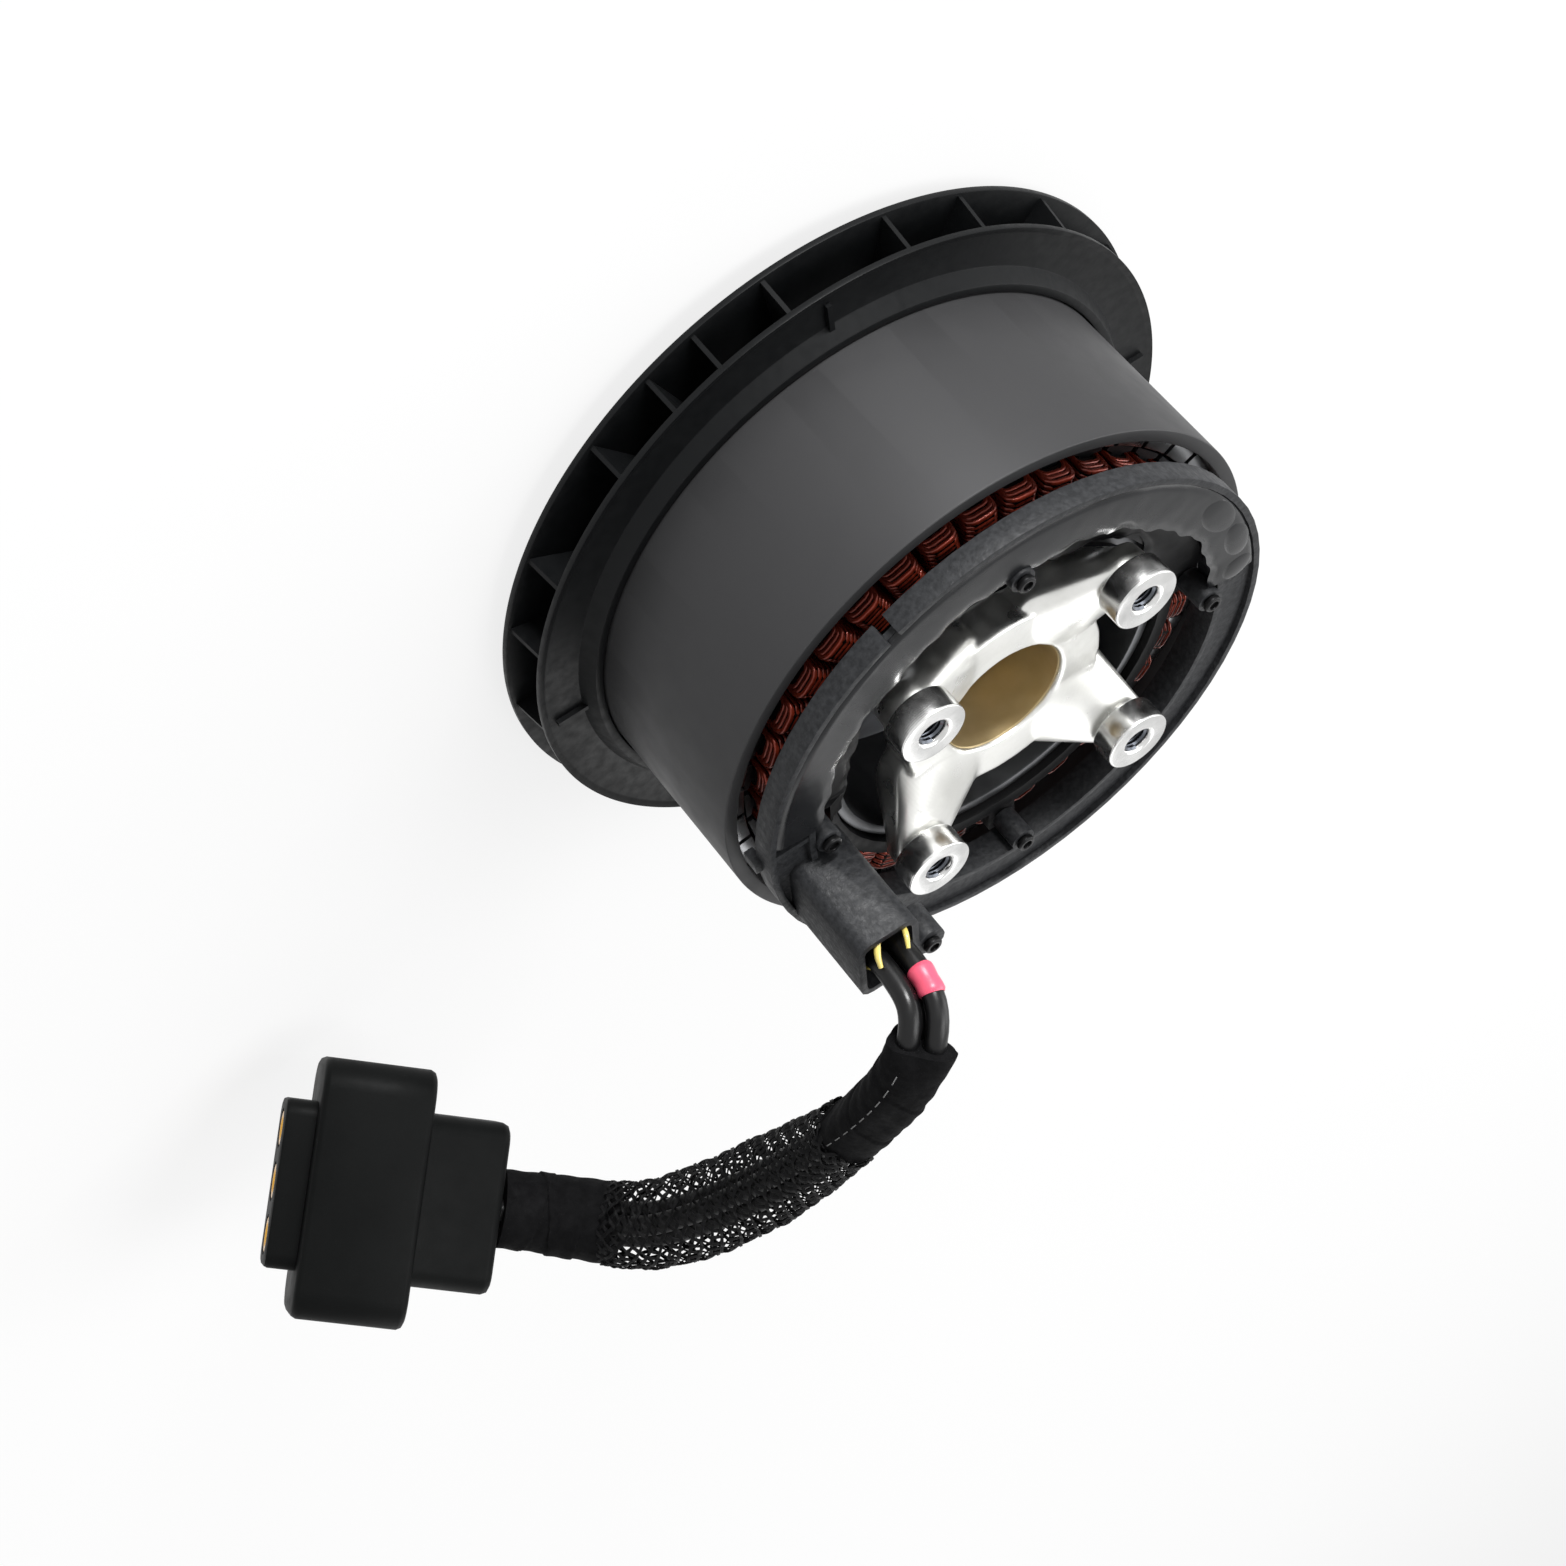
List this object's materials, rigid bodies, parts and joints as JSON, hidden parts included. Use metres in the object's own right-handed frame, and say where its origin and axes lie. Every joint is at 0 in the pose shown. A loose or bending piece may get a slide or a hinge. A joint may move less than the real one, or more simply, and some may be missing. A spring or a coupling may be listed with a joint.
{
  "type": "drone propulsion motor",
  "caption": "Outrunner drone motor with a finned cooling fan, aluminium mount with raised bosses, potted cover ring, wire duct and a sleeved harness ending in a connector",
  "frame": {"origin": "On the spin axis at the bottom of the propeller pad, on which the motor stands", "axes": "+Z is the spin axis, pointing to the arm-mounting bosses; the four bosses lie at 45 degrees to X and Y; the wire duct is on the +X side"},
  "size_m": [0.2302, 0.179, 0.1047],
  "materials": {
    "satin_anodised_aluminium": "satin dark grey anodised, turned",
    "machined_aluminium": "bright as machined",
    "glass_filled_nylon_black": "moulded, matt black",
    "glass_filled_nylon_grey": "moulded, matt dark grey",
    "epoxy_potting": "poured resin, glossy black",
    "enamelled_copper_wire": "red-brown enamel over copper wire",
    "silicon_steel_laminations": "stacked sheet edges",
    "insulator_resin": "moulded, matt grey",
    "bearing_steel": "ground bearing steel",
    "bronze_tinted_shaft": "bronze-tinted turned metal",
    "blackened_screw_steel": "black oxide",
    "black_silicone_wire": "soft black silicone",
    "red_heat_shrink": "pink-red heat-shrink",
    "black_cloth_tape": "matt black cloth tape",
    "black_braided_sleeve": "braided polyester, black",
    "black_connector_rubber": "moulded, matt black",
    "gold_plated_contact": "gold plated"
  },
  "bodies": {
    "stator": {"stator_mount": "machined_aluminium", "stator_core": "silicon_steel_laminations", "winding_phase_u": "enamelled_copper_wire", "winding_phase_v": "enamelled_copper_wire", "winding_phase_w": "enamelled_copper_wire", "end_insulator_upper": "insulator_resin", "end_insulator_lower": "insulator_resin", "cover_ring": "glass_filled_nylon_grey", "potting_compound": "epoxy_potting", "resin_apron": "epoxy_potting", "duct_potting": "epoxy_potting", "duct_screw": "blackened_screw_steel", "bearing_outer_ring_lower": "bearing_steel", "bearing_outer_ring_upper": "bearing_steel", "cover_screw_1": "blackened_screw_steel", "cover_screw_2": "blackened_screw_steel", "cover_screw_3": "blackened_screw_steel", "cover_screw_4": "blackened_screw_steel", "phase_wire_u": "black_silicone_wire", "phase_wire_v": "black_silicone_wire", "phase_wire_w": "black_silicone_wire", "wire_marker_band": "red_heat_shrink", "tape_wrap_front": "black_cloth_tape", "braided_sleeve": "black_braided_sleeve", "tape_wrap_rear": "black_cloth_tape", "connector_housing": "black_connector_rubber", "connector_insert": "black_connector_rubber", "socket_contact_1": "gold_plated_contact", "socket_contact_2": "gold_plated_contact", "socket_contact_3": "gold_plated_contact"},
    "rotor": {"rotor_bell": "satin_anodised_aluminium", "rotor_spider": "machined_aluminium", "fan_ring": "glass_filled_nylon_black", "rotor_shaft": "bronze_tinted_shaft", "shaft_circlip": "bearing_steel", "bearing_inner_ring_lower": "bearing_steel", "bearing_inner_ring_upper": "bearing_steel", "fan_screw_1": "blackened_screw_steel", "fan_screw_2": "blackened_screw_steel", "fan_screw_3": "blackened_screw_steel", "fan_screw_4": "blackened_screw_steel"},
    "bearing_cages": {"bearing_ball_cage_lower": "bearing_steel", "bearing_ball_cage_upper": "bearing_steel"}
  },
  "joints": [
    {"name": "rotor_spin", "type": "hinge", "parent": "stator", "child": "rotor", "pos_m": [0, 0, 0.02], "axis": [0, 0, 1], "continuous": true},
    {"name": "cage_spin", "type": "hinge", "parent": "stator", "child": "bearing_cages", "pos_m": [0, 0, 0.02], "axis": [0, 0, 1], "continuous": true}
  ],
  "couplings": [
    {"joint": "cage_spin", "follows": "rotor_spin", "ratio": 0.4}
  ]
}
